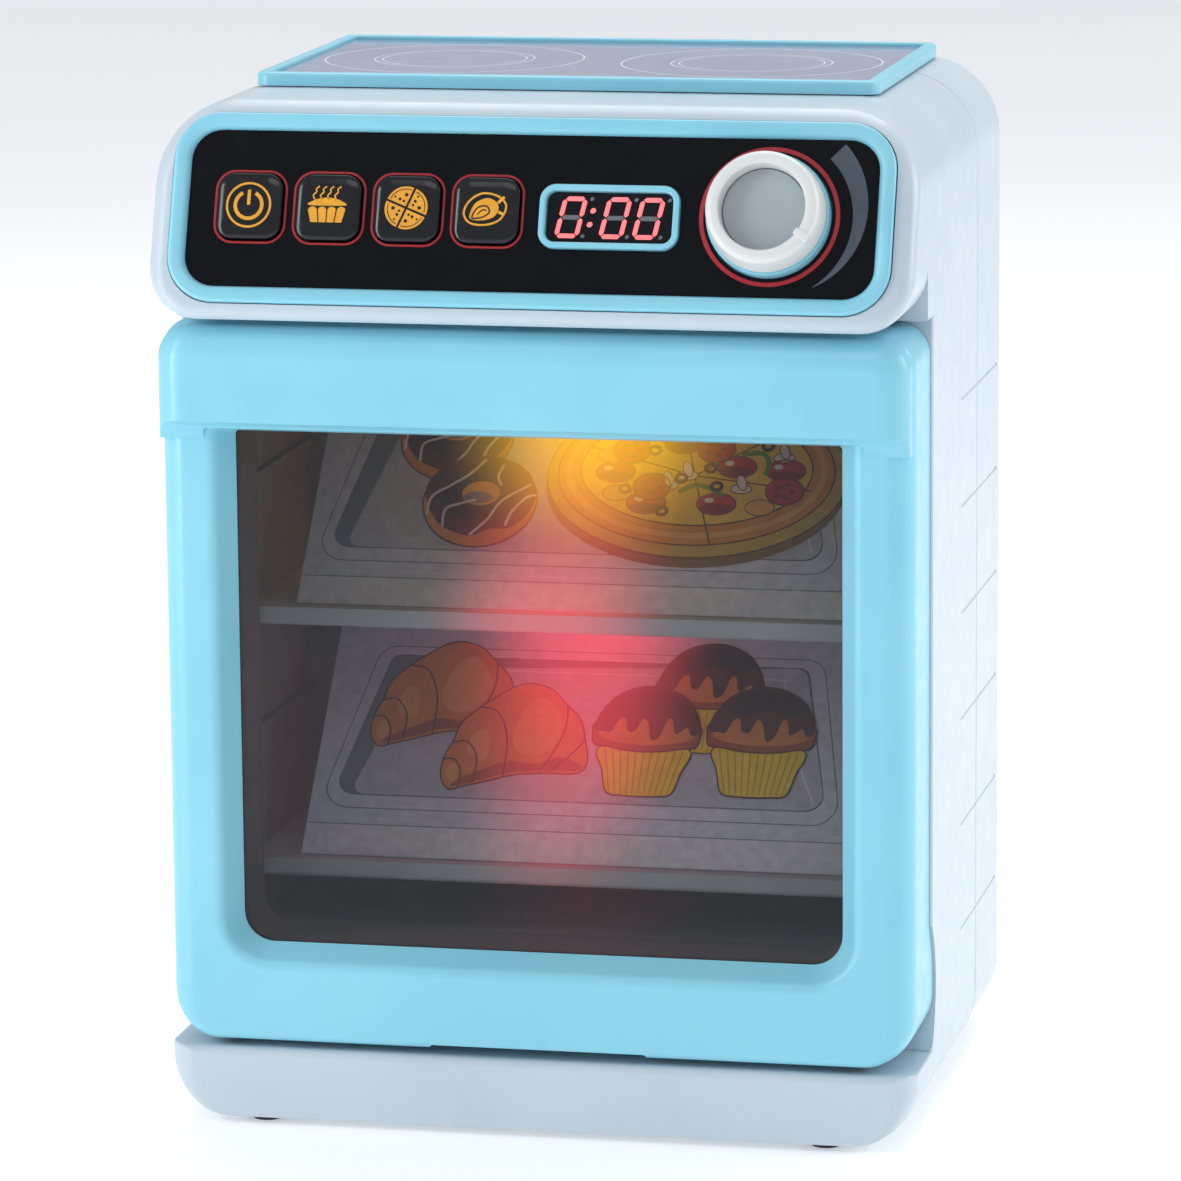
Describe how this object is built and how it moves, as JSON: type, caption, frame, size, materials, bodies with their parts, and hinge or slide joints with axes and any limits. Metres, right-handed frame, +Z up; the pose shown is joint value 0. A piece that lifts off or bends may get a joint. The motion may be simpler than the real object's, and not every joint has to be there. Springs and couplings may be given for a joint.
{
  "type": "toy oven",
  "caption": "Toy kitchen oven with a drop-down window door, tilted console with push buttons, display and turning knob, a play hob on top and a battery compartment.",
  "frame": {"origin": "on the floor, under the middle of the whole object (the knob counts in its depth)", "axes": "+Z up, +X to the right seen from the front, +Y from the door towards the back"},
  "size_m": [0.21, 0.1742, 0.288],
  "materials": {
    "casing": "satin",
    "aqua": "satin",
    "panel_black": "gloss",
    "button_black": "gloss",
    "key_mat": "matte",
    "display_window": "gloss",
    "module_black": "matte",
    "knob_white": "satin",
    "knob_grey": "matte",
    "steel": "bright",
    "board": "matte",
    "hob_print": "gloss",
    "liner": "matte",
    "card": "printed satin",
    "lamp": "gloss",
    "smoked_window": "gloss",
    "cell": "gloss",
    "rubber": "matte",
    "lead": "matte"
  },
  "bodies": {
    "casing": {"front_shell": "casing", "back_shell": "casing", "hob_tray": "aqua", "hob_plate": "hob_print", "panel_bezel": "aqua", "panel_plate": "panel_black", "keypad_mat": "key_mat", "display_frame": "aqua", "display_lens": "display_window", "display_module": "module_black", "knob_collar": "aqua", "rotary_switch": "module_black", "control_board": "board", "board_screw_left": "steel", "board_screw_right": "steel", "oven_liner": "liner", "shelf_lower": "liner", "shelf_upper": "liner", "food_card_lower": "card", "food_card_upper": "card", "lamp_lens": "lamp", "lamp_board": "board", "catch_clip": "steel", "battery_box": "casing", "battery_1": "cell", "battery_2": "cell", "battery_3": "cell", "battery_contact_left": "steel", "battery_contact_right": "steel", "speaker": "module_black", "casing_screw_left_low": "steel", "casing_screw_right_low": "steel", "casing_screw_left_high": "steel", "casing_screw_right_high": "steel", "foot_front_left": "rubber", "foot_front_right": "rubber", "foot_back_left": "rubber", "foot_back_right": "rubber", "battery_lead": "lead", "speaker_lead": "lead"},
    "door": {"door_shell": "aqua", "door_inner_frame": "liner", "door_window": "smoked_window", "door_striker": "aqua", "hinge_pin_left": "steel", "hinge_pin_right": "steel", "door_screw_left_low": "steel", "door_screw_right_low": "steel", "door_screw_left_high": "steel", "door_screw_right_high": "steel"},
    "knob": {"knob": "knob_white", "knob_disc": "knob_grey", "knob_shaft": "steel"},
    "battery_cover": {"battery_door": "casing", "battery_door_screw": "steel"},
    "button_power_cap": {"button_power": "button_black"},
    "button_pie_cap": {"button_pie": "button_black"},
    "button_pizza_cap": {"button_pizza": "button_black"},
    "button_roast_cap": {"button_roast": "button_black"}
  },
  "joints": [
    {"name": "door_hinge", "type": "hinge", "parent": "casing", "child": "door", "pos_m": [0, -0.06288, 0.04], "axis": [1, 0, 0], "range_deg": [0, 90]},
    {"name": "knob_turn", "type": "hinge", "parent": "casing", "child": "knob", "pos_m": [0.0654, -0.07659, 0.25866], "axis": [0, -0.9367, 0.3502], "range_deg": [-22, 79]},
    {"name": "battery_cover_hinge", "type": "hinge", "parent": "casing", "child": "battery_cover", "pos_m": [0, 0.08571, 0.0351], "axis": [-1, 0, 0], "range_deg": [0, 90]},
    {"name": "button_power_press", "type": "slide", "parent": "casing", "child": "button_power_cap", "axis": [0, 0.9367, -0.3502], "range_m": [0, 0.0015], "stiffness_N_per_m": 400, "springref_m": -0.0008},
    {"name": "button_pie_press", "type": "slide", "parent": "casing", "child": "button_pie_cap", "axis": [0, 0.9367, -0.3502], "range_m": [0, 0.0015], "stiffness_N_per_m": 400, "springref_m": -0.0008},
    {"name": "button_pizza_press", "type": "slide", "parent": "casing", "child": "button_pizza_cap", "axis": [0, 0.9367, -0.3502], "range_m": [0, 0.0015], "stiffness_N_per_m": 400, "springref_m": -0.0008},
    {"name": "button_roast_press", "type": "slide", "parent": "casing", "child": "button_roast_cap", "axis": [0, 0.9367, -0.3502], "range_m": [0, 0.0015], "stiffness_N_per_m": 400, "springref_m": -0.0008}
  ]
}
